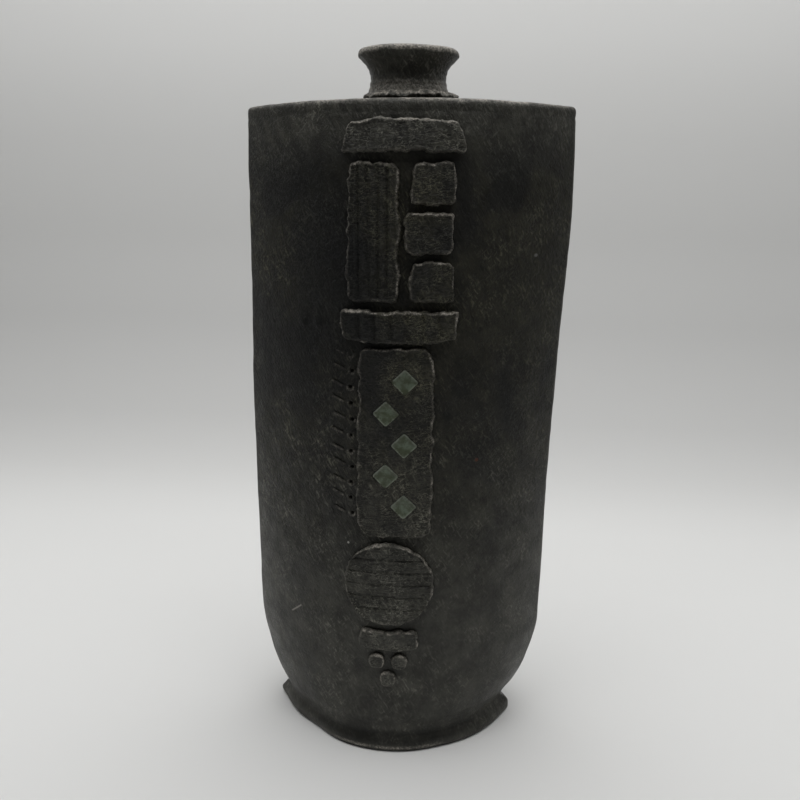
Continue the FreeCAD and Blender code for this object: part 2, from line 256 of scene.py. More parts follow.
def lens_ring(shift, half_w, half_d, seam_r):
    """Points round one section, from the left end of the front face, and their outward directions."""
    radius = face_circle(half_w, half_d, seam_r)
    sweep = math.asin((half_w - seam_r) / (radius - seam_r))
    turn = np.linspace(-sweep, sweep, FRONT_POINTS, endpoint=False)
    side = math.pi / 2 - sweep
    seam = np.linspace(-side, side, SEAM_POINTS, endpoint=False)
    back = np.linspace(sweep, -sweep, BACK_POINTS, endpoint=False)
    centre = radius - half_d
    arcs = [
        (radius * np.sin(turn), centre - radius * np.cos(turn), np.sin(turn), -np.cos(turn)),
        (half_w - seam_r + seam_r * np.cos(seam), seam_r * np.sin(seam), np.cos(seam), np.sin(seam)),
        (radius * np.sin(back), radius * np.cos(back) - centre, np.sin(back), np.cos(back)),
        (seam_r - half_w - seam_r * np.cos(seam), -seam_r * np.sin(seam), -np.cos(seam), -np.sin(seam)),
    ]
    x, y, out_x, out_y = [np.concatenate(part) for part in zip(*arcs)]
    return x + shift, y, out_x, out_y


def hand_built(points):
    """How far the slabs stand in or out of their plain form: dents, paddle marks and dragged scrapes."""
    x, y, z = points[..., 0], points[..., 1], points[..., 2]
    slant = np.stack([x * 0.90 + z * 0.43, y, z * 0.90 - x * 0.43], -1)
    push = 0.32 * fractal(points, (52.0, 40.0, 64.0), 2, 3)
    push = push + 0.13 * fractal(points, 11.0, 2, 7)
    push = push + 0.11 * noise(slant, (2.6, 8.0, 13.0), 11) * (0.5 + 0.5 * noise(points, 26.0, 13))
    quiet = smooth_step(0.0, 14.0, z)
    return push * (0.25 + 0.75 * quiet)


def top_seam(points):
    """The groove left where the top slab was luted on."""
    line = BODY_H - 5.2 + 0.7 * noise(points * np.array([1, 1, 0]), 14.0, 21)
    depth = 0.28 * (0.6 + 0.4 * noise(points * np.array([1, 1, 0]), 9.0, 22))
    return -depth * np.exp(-((points[..., 2] - line) / 0.9) ** 2)


# Beads at the ends of two glaze runs, as across, height, radius and how far they stand out,
# and the places where the runs begin
RUN_BEADS = [(-43.1, 227.0, 2.2, 1.0), (-35.1, 227.3, 2.5, 1.1)]
RUN_TOPS = [(-44.9, 295.0), (-34.1, 297.5)]


def glaze_runs(points):
    """Thin thickening along the runs, ending in beads."""
    x, y, z = points[..., 0], points[..., 1], points[..., 2]
    push = np.zeros_like(x)
    for (bead_x, bead_z, radius, rise), (top_x, top_z) in zip(RUN_BEADS, RUN_TOPS):
        away = ((x - bead_x) ** 2 + (z - bead_z) ** 2) / radius ** 2
        push += rise * np.exp(-away * 1.6)
        u = np.clip((z - bead_z) / (top_z - bead_z), 0, 1)
        line = bead_x + (top_x - bead_x) * u + 0.6 * np.sin(z / 9.0)
        start = smooth_step(bead_z - 1, bead_z + 4, z)
        push += 0.22 * np.exp(-((x - line) / 2.2) ** 2) * start * (1 - u) ** 0.5
    return np.where(y < 0, push, 0.0)


def surface_push(points):
    return hand_built(points) + top_seam(points) + glaze_runs(points)


def front_surface(x, z, lift):
    """Points over the front face, at a lift above the hand-built surface."""
    shift, half_w, half_d, seam_r = row_at(z)
    radius = face_circle(half_w, half_d, seam_r)
    turn = np.arcsin(np.clip((x - shift) / radius, -0.99, 0.99))
    base = np.stack([x, radius - half_d - radius * np.cos(turn), z], -1)
    out = np.stack([np.sin(turn), -np.cos(turn), np.zeros_like(turn)], -1)
    return settled(base + out * (surface_push(base) + lift)[..., None])


# Meshes

def new_object(name, data):
    made = bpy.data.objects.new(name, data)
    bpy.context.scene.collection.objects.link(made)
    return made


def new_piece(name, points, faces, material, paleness):
    """A mesh object from points in millimetres, riding on the vase in place of its solid."""
    mesh = bpy.data.meshes.new(name)
    points = np.clip(np.asarray(points, float) * MM, *CAD_BOX)
    loops = np.concatenate([np.asarray(f, np.int64) for f in faces if len(f)], axis=None)
    sizes = np.concatenate([np.full(len(f), np.asarray(f).shape[1]) for f in faces if len(f)])
    mesh.vertices.add(len(points))
    mesh.vertices.foreach_set("co", points.astype(np.float32).ravel())
    mesh.loops.add(len(loops))
    mesh.loops.foreach_set("vertex_index", loops.astype(np.int32))
    mesh.polygons.add(len(sizes))
    starts = np.concatenate([[0], np.cumsum(sizes)[:-1]])
    mesh.polygons.foreach_set("loop_start", starts.astype(np.int32))
    mesh.polygons.foreach_set("use_smooth", np.ones(len(sizes), bool))
    mesh.update(calc_edges=True)
    mesh.validate()
    pale_share = mesh.attributes.new("paleness", "FLOAT", "POINT")
    pale_share.data.foreach_set("value", np.clip(paleness, 0, 2).astype(np.float32))
    mesh.materials.append(material)
    piece = new_object(name, mesh)
    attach(piece, "root")
    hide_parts(NODE)
    return piece


def ring_faces(rings, count):
    """Quads between closed rings of points, facing outwards when the rings go up."""
    i = np.arange(rings - 1)[:, None] * count
    j = np.arange(count)[None, :]
    k = (j + 1) % count
    return np.stack([i + j, i + k, i + count + k, i + count + j], -1).reshape(-1, 4)


def fan_faces(ring_start, count, centre, up):
    j = np.arange(count)
    k = (j + 1) % count
    order = [ring_start + j, ring_start + k, np.full(count, centre)]
    if not up:
        order = [order[1], order[0], order[2]]
    return np.stack(order, -1)


def grid_faces(shape):
    index = np.arange(shape[0] * shape[1]).reshape(shape)
    corners = [index[:-1, :-1], index[:-1, 1:], index[1:, 1:], index[1:, :-1]]
    return np.stack(corners, -1).reshape(-1, 4)


def directions(count):
    """Evenly spread turns round a circle, and the direction at each."""
    turn = np.linspace(0, 2 * math.pi, count, endpoint=False)
    return turn, np.stack([np.cos(turn), np.sin(turn)], -1)


def ring_points(middle, reach, round_turn, z):
    """A ring at a reach from a middle across, at one height or a height for each point."""
    x = middle + reach * round_turn[:, 0]
    return np.column_stack([x, reach * round_turn[:, 1], np.broadcast_to(z, x.shape)])


def heights():
    """Heights of the body's rings, closer together at the foot and at the top edge."""
    foot = np.arange(0.0, 20.0, 0.62)
    walls = np.arange(20.0, BODY_H - 9.0, ROW_STEP)
    top = np.arange(BODY_H - 9.0, BODY_H - TOP_EDGE_R, 0.6)
    return np.concatenate([foot, walls, top])


def ear_push(x, y, z, half_w, shift):
    """The pinched ends of the slabs stick out beyond the rim at both seams, to their own heights."""
    side = np.where(x < shift, -1, 1)
    height = np.where(x < shift, EAR_H[-1], EAR_H[1])
    rim = float(row_at(FLANGE_T * 0.4)[1])
    rise = smooth_step(-2.0, 2.5, z) * (1 - smooth_step(height * 0.6, height + 1.4, z))
    reach = np.maximum(rim + np.where(x < shift, EAR_OUT[-1], EAR_OUT[1]) - half_w, 0.0) * rise
    return side * reach * np.exp(-(y / EAR_SPREAD) ** 2)


def make_body(material, opening):
    """The two slabs with the top slab, less the part of the front that the tooled margin fills."""
    rings = []
    kept = []
    paleness = []
    for z in heights():
        shift, half_w, half_d, seam_r = [float(v) for v in row_at(z)]
        x, y, out_x, out_y = lens_ring(shift, half_w, half_d, seam_r)
        base = np.stack([x, y, np.full_like(x, z)], -1)
        push = surface_push(base)
        lifted = z + top_lift((x - shift) / half_w) * smooth_step(BODY_H - 40.0, BODY_H, z)
        ring = np.stack([x + out_x * push, y + out_y * push, lifted], -1)
        ring[:, 0] += ear_push(x, y, z, half_w, shift)
        rings.append(settled(ring))
        x0, x1, z0, z1 = opening
        kept.append((x < x0) | (x > x1) | (y > 0) | (z < z0) | (z > z1))
        seam = smooth_step(0.80, 0.99, np.abs(out_x))
        # painted highlight: a thin pale line along the upward-facing top of the foot rim, across the
        # front
        foot = math.exp(-((z - 2.6) / 0.6) ** 2) * np.exp(-((x + 2.0) / 32.0) ** 4)
        paleness.append(0.18 * seam * smooth_step(18.0, 60.0, np.full_like(x, z)) + 0.8 * foot)
    count = FRONT_POINTS + BACK_POINTS + 2 * SEAM_POINTS
    shift, half_w, half_d, seam_r = [float(v) for v in row_at(BODY_H)]
    for i in range(1, EDGE_STEPS + 1):
        turn = math.pi / 2 * i / EDGE_STEPS
        inset = TOP_EDGE_R * (1 - math.cos(turn))
        x, y, out_x, out_y = lens_ring(shift, half_w - inset, half_d - inset, seam_r - inset * 0.5)
        z = BODY_H - TOP_EDGE_R * (1 - math.sin(turn))
        base = np.stack([x, y, np.full_like(x, z)], -1)
        push = surface_push(base) * math.cos(turn)
        rough = 0.12 * fractal(base, 5.0, 2, 31)
        lifted = z + top_lift((x - shift) / half_w) + rough
        rings.append(np.stack([x + out_x * push, y + out_y * push, lifted], -1))
        # the top edge paler the more it faces up: rubbed clay, with painted highlight along the rounded
        # edge and onto the top slab
        bare_and_highlight = 0.1 + 1.5 * math.sin(turn) ** 2
        bare_and_highlight = bare_and_highlight * (0.35 + 0.65 * np.exp(-((x - 12.0) / 58.0) ** 4))
        paleness.append(bare_and_highlight * (0.7 + 0.4 * noise(base, 6.0, 33)))
    edge = rings[-1]
    angle = np.arctan2(edge[:, 1], edge[:, 0] - NECK_X)
    # the ring round the neck takes its points in step with the edge, evenly spread
    order = np.unwrap(angle)
    inner_r = (BORE_R + ROOT_R) / 2
    inner = np.stack([
        NECK_X + inner_r * np.cos(order),
        inner_r * np.sin(order),
        np.full(count, BODY_H + CROWN_RISE),
    ], -1)
    for i in range(1, TOP_STEPS + 1):
        u = i / TOP_STEPS
        ring = edge * (1 - u) + inner * u
        bumps = 0.25 * fractal(ring * np.array([1, 1, 0]), 13.0, 3, 41) * (1 - u) * min(1.0, 4 * u)
        ring[:, 2] = edge[:, 2] * (1 - u) + inner[:, 2] * u + bumps
        ring[:, 2] += CROWN_RISE * (math.sin(math.pi / 2 * u) - u) * 0.6
        rings.append(ring)
        paleness.append(np.full(count, 1.1 - 0.9 * min(1.0, 4 * u)))
    # the flat underside, drawn in to the middle
    foot = rings[0].copy()
    under = []
    for inset in (0.06, 0.5):
        ring = foot.copy()
        ring[:, :2] *= 1 - inset
        ring[:, 2] = 0.0
        under.append(ring)
    rings = under[::-1] + rings
    paleness = [np.full(count, 0.3)] * 2 + paleness
    centre = np.array([[foot[:, 0].mean(), 0.0, 0.0]])
    points = np.concatenate(rings + [centre])
    faces = ring_faces(len(rings), count)
    shown = np.ones(len(points), bool)
    shown[2 * count:2 * count + len(kept) * count] = np.concatenate(kept)
    faces = faces[shown[faces].any(axis=1)]
    cap = fan_faces(0, count, len(points) - 1, False)
    points[:, 2] = np.maximum(points[:, 2], 0.0)
    return new_piece("body", points, [faces, cap], material, np.concatenate(paleness + [np.array([0.3])]))


def neck_profile():
    """Radius, height and way along the neck, up its outside to the lip and down the bore."""
    seat = BODY_H + CROWN_RISE
    lip = seat + NECK_H
    outside = np.array([
        (ROOT_R + 0.4, seat - 2.0),
        (ROOT_R, seat + 0.4),
        (19.2, seat + 2.8),
        (18.1, seat + 5.6),
        (WAIST_R, lip - 13.0),
        (17.9, lip - 10.6),
        (18.9, lip - 8.2),
        (20.6, lip - 6.0),
        (22.4, lip - 4.2),
        (23.3, lip - 3.0),
        (LIP_R, lip - 1.9),
        (23.0, lip - 1.0),
        (22.1, lip - 0.3),
        (21.0, lip),
        (19.8, lip - 0.3),
        (18.6, lip - 1.1),
        (17.0, lip - 3.2),
        (15.2, lip - 7.2),
        (14.2, lip - 12.2),
        (BORE_R, seat + 3.0),
        (BORE_R, BODY_H - TOP_T + 1.0),
        (BORE_R + 0.8, BODY_H - TOP_T),
    ])
    steps = np.concatenate([[0], np.cumsum(np.hypot(*np.diff(outside, axis=0).T))])
    along = np.arange(0, steps[-1], NECK_STEP)
    radius = smooth_curve(steps, outside[:, 0], along)
    height = smooth_curve(steps, outside[:, 1], along)
    return radius, height, along


def make_neck(material):
    count = NECK_POINTS
    turn, round_turn = directions(count)
    radius, height, along = neck_profile()
    rings = []
    paleness = []
    seat = BODY_H + CROWN_RISE
    lip = seat + NECK_H
    lip_along = along[np.argmax(height)]
    for r, z, s in zip(radius, height, along):
        at = ring_points(0.0, 22.0, round_turn, z)
        throwing = 0.10 * math.sin(z * 2.6)
        throwing = throwing + 0.07 * noise(ring_points(0.0, 3.0, round_turn, s), 0.9, 5)
        rough = 0.10 * fractal(at, (7.0, 7.0, 2.4), 3, 51)
        pits = -0.5 * smooth_step(0.1, 0.6, noise(at, (1.6, 1.6, 1.0), 55))
        pits = pits * math.exp(-((z - (lip - 3.3)) / 0.7) ** 2)
        wobble = 0.22 * np.sin(turn * 2 + 0.6) + 0.12 * np.sin(turn * 3 + 2.0)
        reach = r + (throwing + rough + wobble) * (1.0 if r > BORE_R + 0.5 else 0.3) + pits
        z_wave = 0.22 * noise(at * np.array([1, 1, 0]), 9.0, 57) * smooth_step(seat + 12, lip, z)
        ring_z = np.minimum(z + z_wave - 0.2 * smooth_step(seat + 12, lip, z), lip)
        rings.append(ring_points(NECK_X, reach, round_turn, ring_z))
        ragged = z + 0.45 * fractal(at * np.array([1, 1, 0]), 1.9, 2, 59)
        top_band = smooth_step(lip - 2.9, lip - 2.1, ragged) * (1.0 if s < lip_along else 0.4)
        # painted highlight on the upward-facing lower neck, broken up by noise
        painted_foot_highlight = 1 - smooth_step(seat + 4.5, seat + 10.5, z)
        paleness.append((top_band + 0.6 * painted_foot_highlight) * (0.72 + 0.35 * noise(at, 3.0, 58)))
    # inside: ceiling, walls and floor of the hollow
    ceiling = BODY_H - TOP_T
    inside = [(ceiling - 0.2, 0.25), (ceiling - 0.5, 0.6), (ceiling - 1.5, 0.95), (ceiling - 4.0, 1.0)]
    inside += [(z, 1.0) for z in np.linspace(ceiling - 14.0, FLOOR_T + 5.0, 26)]
    inside += [(FLOOR_T + 1.5, 0.97), (FLOOR_T + 0.4, 0.86), (FLOOR_T, 0.6), (FLOOR_T, 0.25)]
    for z, share in inside:
        shift, half_w, half_d, seam_r = [float(v) for v in row_at(z)]
        half_w, half_d = half_w - SEAM_WALL, half_d - WALL
        big = face_circle(half_w, half_d, seam_r)
        sweep = np.abs(round_turn[:, 1])
        # where a ray from the middle meets the arc of the inner face
        centre = big - half_d
        reach = -centre * sweep + np.sqrt(big ** 2 - centre ** 2 * (1 - sweep ** 2))
        start = BORE_R if z > ceiling - 2.0 else 0.0
        reach = start + (reach - start) * share
        middle = NECK_X + (shift - NECK_X) * min(1.0, (ceiling - z) / 20.0)
        rings.append(settled(ring_points(middle, reach, round_turn, z)))
        paleness.append(np.zeros(count))
    points = np.concatenate(rings + [np.array([[0.0, 0.0, FLOOR_T]])])
    faces = ring_faces(len(rings), count)
    cap = fan_faces((len(rings) - 1) * count, count, len(points) - 1, True)
    return new_piece("neck", points, [faces, cap], material, np.concatenate(paleness + [np.zeros(1)]))


def make_skirt(material):
    """The torn ring of clay that beds the neck."""
    count = SKIRT_POINTS
    round_turn = directions(count)[1]
    around = ring_points(0.0, 22.0, round_turn, 0.0)
    torn = fractal(around, 4.2, 4, 61)
    lift = 0.7 * fractal(around, 2.6, 3, 63)
    seat = BODY_H + CROWN_RISE
    profile = [
        (17.6, 4.2), (18.5, 3.9), (19.4, 3.4), (20.3, 2.9), (21.1, 2.5), (21.7, 2.1), (22.1, 1.6),
        (22.2, 1.1), (21.9, 0.65), (21.2, 0.35), (20.6, -0.2), (20.2, -1.2), (19.6, -2.6),
    ]
    rings = []
    paleness = []
    for r, z in profile:
        free = smooth_step(17.6, 20.6, r)
        at = ring_points(0.0, r, round_turn, z)
        rough = 0.42 * fractal(at, 1.7, 2, 65)
        reach = np.minimum(r + torn * free + rough, LIP_R - 0.2)
        up = seat + z + (lift + rough) * free * (1.0 if z > 0.3 else 0.2)
        rings.append(ring_points(NECK_X + 1.4 * free, reach, round_turn, up))
        shown = 0.35 + 0.75 * free if z > 1.3 else 0.0
        paleness.append(shown * np.clip(0.45 + 0.9 * noise(at, 1.5, 66), 0, 1.2))
    points = np.concatenate(rings[::-1])
    faces = ring_faces(len(rings), count)
    return new_piece("skirt", points, [faces], material, np.concatenate(paleness[::-1]))


def make_patch(name, middle, size, thickness, material, seed, taper=0.0, bow=0.0, blunt=9.0, torn=0.55,
               rim=0.5, carve=None, texture=0.14, round_patch=False):
    """A patch of clay on the front: torn outline, rounded and raised rim, undercut foot."""
    width, height = size
    across = max(8, int(round(width / CELL)))
    up = max(8, int(round(height / CELL)))
    a, b = np.meshgrid(np.linspace(-1, 1, across + 1), np.linspace(-1, 1, up + 1))
    longest = np.maximum(np.abs(a), np.abs(b))
    if round_patch:
        u = a * np.sqrt(1 - b * b / 2)
        v = b * np.sqrt(1 - a * a / 2)
    else:
        total = (np.abs(a) ** blunt + np.abs(b) ** blunt) ** (1 / blunt)
        shrink = np.where(total > 0, longest / np.maximum(total, 1e-9), 1.0)
        shrink = 1 - (1 - shrink) * longest ** 4
        u, v = a * shrink, b * shrink
    half_w, half_h = width / 2, height / 2
    x = u * (half_w - taper * (v + 1) / 2)
    z = v * half_h + bow * (1 - u * u)
    if round_patch:
        dist = (1 - longest) * half_w
    else:
        dist = np.minimum((1 - np.abs(a)) * half_w, (1 - np.abs(b)) * half_h)
    flat = np.stack([x, np.zeros_like(x), z], -1)
    hold = 1 - smooth_step(0.0, 4.5, dist)
    nick = 0.34 * (1 - smooth_step(0.0, 1.8, dist)) * min(1.0, torn * 2)
    tear_x = torn * fractal(flat, 5.5, 3, seed) * hold + nick * fractal(flat, 1.7, 2, seed + 20)
    tear_z = torn * fractal(flat, 5.5, 3, seed + 100) * hold + nick * fractal(flat, 1.7, 2, seed + 120)
    x = middle[0] + x + tear_x
    z = middle[1] + z + tear_z
    turn_in = np.clip(dist / 1.1, 0, 1)
    lift = thickness * (0.52 + 0.48 * np.sqrt(1 - (1 - turn_in) ** 2))
    crest = np.exp(-((dist - 1.0) / 0.75) ** 2) * (0.55 + 0.55 * fractal(flat, 2.4, 2, seed + 5))
    lift = lift + rim * crest
    lift = lift + texture * fractal(flat, 6.0, 2, seed + 7) * turn_in
    lift = lift + texture * 0.6 * fractal(flat, (2.4, 1.6, 1.1), 2, seed + 9) * turn_in
    if carve is not None:
        lift = lift + carve(x, z, dist)
    grid = front_surface(x.ravel(), z.ravel(), lift.ravel())
    upper = np.exp(-(1 - b) * half_h / 1.6)
    under = np.exp(-(1 + b) * half_h / 1.6)
    right = np.exp(-(1 - a) * half_w / 1.6)
    # pale rims: rubbed clay, with painted highlight added on the upper edges and taken off the under
    # edges
    pale_share = np.exp(-((dist - 0.6) / 0.55) ** 2) * (0.5 + 0.9 * upper + 0.5 * right - 0.3 * under)
    pale_share = pale_share * (0.75 + 0.6 * noise(flat, 2.0, seed + 11))
    index = np.arange(a.size).reshape(a.shape)
    border = np.concatenate([index[0, :-1], index[:-1, -1], index[-1, :0:-1], index[:0:-1, 0]])
    bx, bz = x.ravel()[border], z.ravel()[border]
    along_x = np.roll(bx, -1) - np.roll(bx, 1)
    along_z = np.roll(bz, -1) - np.roll(bz, 1)
    length = np.maximum(np.hypot(along_x, along_z), 1e-6)
    out_x, out_z = along_z / length, -along_x / length
    parts = [grid]
    pale_parts = [pale_share.ravel()]
    faces = [grid_faces(a.shape)]
    last = border
    start = a.size
    count = len(border)
    # the side turns in under the rim and goes down into the body
    for outset, share, drop in PATCH_SIDE:
        low = thickness * share + drop
        ring = front_surface(bx + out_x * outset, bz + out_z * outset, np.full(count, low))
        parts.append(ring)
        pale_parts.append(np.full(count, 0.25 if share > 0.2 else 0.0))
        now = start + np.arange(count)
        nxt = np.roll(now, -1)
        faces.append(np.stack([now, nxt, np.roll(last, -1), last], -1))
        last = now
        start += count
    centre = front_surface(np.array([bx.mean()]), np.array([bz.mean()]), np.array([-2.4]))
    parts.append(centre)
    pale_parts.append(np.zeros(1))
    faces.append(np.stack([np.roll(last, -1), last, np.full(count, start)], -1))
    return new_piece(name, np.concatenate(parts), faces, material, np.concatenate(pale_parts))


# Combing, ridges and wells, as changes of a patch's lift

def comb(axis, places, wobble_seed, depth=COMB_DEPTH, width=0.75, fine=0.0, fine_pitch=1.9):
    """Grooves at places across a patch, with finer scratches between them."""
    def carve(x, z, dist):
        across, along = (x, z) if axis == "x" else (z, x)
        sway = 0.35 * noise(np.stack([along, np.zeros_like(x), np.zeros_like(x)], -1), 9.0, wobble_seed)
        groove = np.zeros_like(x)
        for place in places:
            groove = np.maximum(groove, np.exp(-((across - place - sway) / width) ** 2))
        scratch = 0.5 + 0.5 * np.sin(2 * math.pi * (across + sway) / fine_pitch)
        inside = smooth_step(0.6, 2.2, dist)
        return -(depth * groove + fine * scratch) * inside
    return carve


def even_places(middle, width, count):
    return [middle + width * ((i + 1) / (count + 1) - 0.5) for i in range(count)]


def column_x(z):
    """The middle of the relief column, which leans from the foot to the top."""
    return COLUMN_X_FOOT + (COLUMN_X_TOP - COLUMN_X_FOOT) * z / BODY_H


def upper_patches(material):
    """Lintel, combed panel with its pads, and ridged band, stacked down from the top edge."""
    low = BODY_H - TOP_MARGIN - LINTEL[1]
    x = column_x(low)
    make_patch("lintel", (x, low + LINTEL[1] / 2), LINTEL[:2], LINTEL[2], material, 201,
               taper=4.0, bow=1.5, texture=0.2)
    low = low - GAP - PANEL[1]
    left = x - LINTEL[0] / 2 + PANEL[0] / 2 + 2.0
    lines = comb("x", even_places(left, PANEL[0] - 3, 4), 203, fine=0.22)
    make_patch("combed_panel", (left, low + PANEL[1] / 2), PANEL[:2], PANEL[2], material, 205,
               taper=1.0, torn=0.75, carve=lines)
    pad_h = (PANEL[1] - GAP * (PAD_COUNT - 1)) / PAD_COUNT
    right = left + PANEL[0] / 2 + GAP + PAD_W / 2
    for i in range(PAD_COUNT):
        lean = 0.8 * (-1) ** i
        middle = (right + lean, low + i * (pad_h + GAP) + pad_h / 2)
        make_patch(f"pad_{i + 1}", middle, (PAD_W, pad_h), PAD_T, material, 211 + 10 * i,
                   taper=1.2 * lean, blunt=6.0, texture=0.24)
    low = low - GAP - BAND[1]
    x = column_x(low)
    ridges = comb("x", even_places(x, BAND[0], 6), 241, width=1.0)
    make_patch("ridged_band", (x, low + BAND[1] / 2), BAND[:2], BAND[2], material, 243,
               taper=-1.5, bow=-1.2, carve=ridges)
    return low - GAP


def lower_patches(material):
    """Pellets, bar and combed roundel, stacked up from the foot."""
    low = FOOT_MARGIN
    x = column_x(low)
    size = (2 * PELLET_R, 2 * PELLET_R)
    next_low = low + 2 * PELLET_R + GAP / 2
    places = [(x, low + PELLET_R, 251)]
    for i, side in enumerate((-1, 1)):
        places.append((x + side * (PELLET_R + GAP / 2), next_low + PELLET_R, 261 + i))
    for i, (at_x, at_z, seed) in enumerate(places):
        make_patch(f"pellet_{i + 1}", (at_x, at_z), size, PELLET_T, material, seed,
                   torn=0.2, rim=0.0, round_patch=True)
    low = next_low + 2 * PELLET_R + GAP
    make_patch("bar", (x, low + BAR[1] / 2), BAR[:2], BAR[2], material, 271,
               taper=1.5, bow=-0.8, texture=0.2)
    low = low + BAR[1] + GAP
    middle = (x, low + ROUNDEL_R)
    rows = comb("z", even_places(middle[1], 2 * ROUNDEL_R - 4, 5), 281, fine=0.25, fine_pitch=1.7)
    size = (2 * ROUNDEL_R, 2 * ROUNDEL_R)
    make_patch("roundel", middle, size, ROUNDEL_T, material, 283,
               torn=0.45, carve=rows, round_patch=True)
    return low + 2 * ROUNDEL_R + GAP


def lozenge_depth(x, z, middle):
    """How far inside a lozenge a point is, in millimetres; negative outside."""
    u = np.abs(x - middle[0])
    v = np.abs(z - middle[1])
    straight = (WELL_R - u - v) / math.sqrt(2)
    return np.minimum(straight, WELL_R * 0.98 - np.maximum(u, v))


def well_places(low, high):
    middle = column_x((low + high) / 2)
    count = max(1, int((high - low - WELL_R) / WELL_PITCH))
    first = (low + high) / 2 + WELL_PITCH * (count - 1) / 2
    return [(middle + WELL_STAGGER * (-1) ** i, first - i * WELL_PITCH) for i in range(count)]


def make_strip(low, high, material):
    """The long torn strip with its staggered lozenge wells."""
    wells = well_places(low, high)

    def press(x, z, dist):
        lift = np.zeros_like(x)
        for well in wells:
            inside = lozenge_depth(x, z, well)
            lift -= WELL_DEPTH * smooth_step(-0.25, 0.45, inside)
            lift += 0.22 * np.exp(-((inside + 0.75) / 0.5) ** 2)
        return lift

    middle = column_x((low + high) / 2)
    make_patch("strip", (middle, (low + high) / 2), (STRIP_W, high - low), STRIP_T, material, 301,
               taper=0.8, torn=0.8, carve=press, texture=0.16)


def make_glaze(index, well, material):
    """Glaze lying in one well, drawn up a little at its edges."""
    rings, count = 14, 64
    round_turn = directions(count)[1]
    reach_out = WELL_R / np.abs(round_turn).sum(axis=1)
    reach_out = np.minimum(reach_out, WELL_R * 0.94) - 0.1
    bed = STRIP_T - WELL_DEPTH
    points = []
    faces = []
    paleness = []
    for i in range(rings + 1):
        share = (i + 1) / (rings + 1)
        paleness.append(np.full(count, smooth_step(0.80, 0.97, share)))
        reach = reach_out * share
        x = well[0] + reach * round_turn[:, 0]
        z = well[1] + reach * round_turn[:, 1]
        flat = np.stack([x, np.zeros(count), z], -1)
        lift = bed + 0.28 + 0.34 * share ** 5 + 0.06 * fractal(flat, 2.5, 2, 401 + index)
        points.append(front_surface(x, z, lift))
    skirt_x = well[0] + reach_out * 1.02 * round_turn[:, 0]
    skirt_z = well[1] + reach_out * 1.02 * round_turn[:, 1]
    points.append(front_surface(skirt_x, skirt_z, np.full(count, bed - 0.4)))
    total = rings + 2
    centre, under = [
        front_surface(np.array([well[0]]), np.array([well[1]]), np.array([lift]))
        for lift in (bed + 0.26, bed - 0.4)
    ]
    faces.append(ring_faces(total, count)[:, ::-1])
    faces.append(fan_faces(0, count, total * count, True))
    faces.append(fan_faces((total - 1) * count, count, total * count + 1, False))
    points = np.concatenate(points + [centre, under])
    paleness = np.concatenate(paleness + [np.zeros(count + 2)])
    return new_piece(f"glaze_{index + 1}", points, faces, material, paleness)


def margin_box(low, high):
    """Left, right, foot and top of the tooled margin beside the strip."""
    right = column_x((low + high) / 2) - STRIP_W / 2 + 1.5
    return right - MARGIN_W, right, low + 2.0, high - 2.0


def make_margin(low, high, material):
    """The tooled margin beside the strip: pricked holes and slanting ticks in the body's skin."""
    left, right, foot, top = margin_box(low, high)
    across, up = int(MARGIN_W / MARGIN_CELL), int((top - foot) / MARGIN_CELL)
    x, z = np.meshgrid(np.linspace(left, right, across + 1), np.linspace(foot, top, up + 1))
    edge = np.minimum(np.minimum(x - left, z - foot), top - z)
    lift = -0.3 + 0.38 * smooth_step(0.0, MARGIN_LAP, edge)
    pale_share = np.zeros_like(lift)
    hole_x = column_x((low + high) / 2) - STRIP_W / 2 - PRICK_GAP
    count = int((high - low) / PRICK_PITCH)
    for i in range(count):
        hole_z = high - (i + 0.5) * PRICK_PITCH
        at_x = hole_x + 0.5 * math.sin(2.0 * i)
        away = np.hypot(x - at_x, z - hole_z)
        lift -= 1.5 * (1 - smooth_step(PRICK_R * 0.55, PRICK_R * 1.15, away))
        burr = np.exp(-((away - PRICK_R * 1.7) / 0.45) ** 2)
        lift += 0.3 * burr
        # painted highlight on the lower, upward-facing half of each burr
        pale_share += 0.35 * burr * (z < hole_z + 0.6)
        tick_x, tick_z = at_x - 6.2, hole_z + 2.2 + 0.4 * math.sin(3.0 * i)
        u = (x - tick_x) * 0.92 - (z - tick_z) * 0.39
        v = (x - tick_x) * 0.39 + (z - tick_z) * 0.92
        on = smooth_step(-3.4, -2.6, u) * (1 - smooth_step(2.2, 3.6, u))
        lift -= 0.8 * np.exp(-(v / 0.45) ** 2) * on
        lift += 0.3 * np.exp(-((v + 1.0) / 0.4) ** 2) * on
        # painted highlight on the ridge beside each tick
        pale_share += 0.3 * np.exp(-((v + 0.9) / 0.35) ** 2) * on
    grid = front_surface(x.ravel(), z.ravel(), lift.ravel())
    return new_piece("tooled_margin", grid, [grid_faces(x.shape)], material, pale_share.ravel())


# Materials

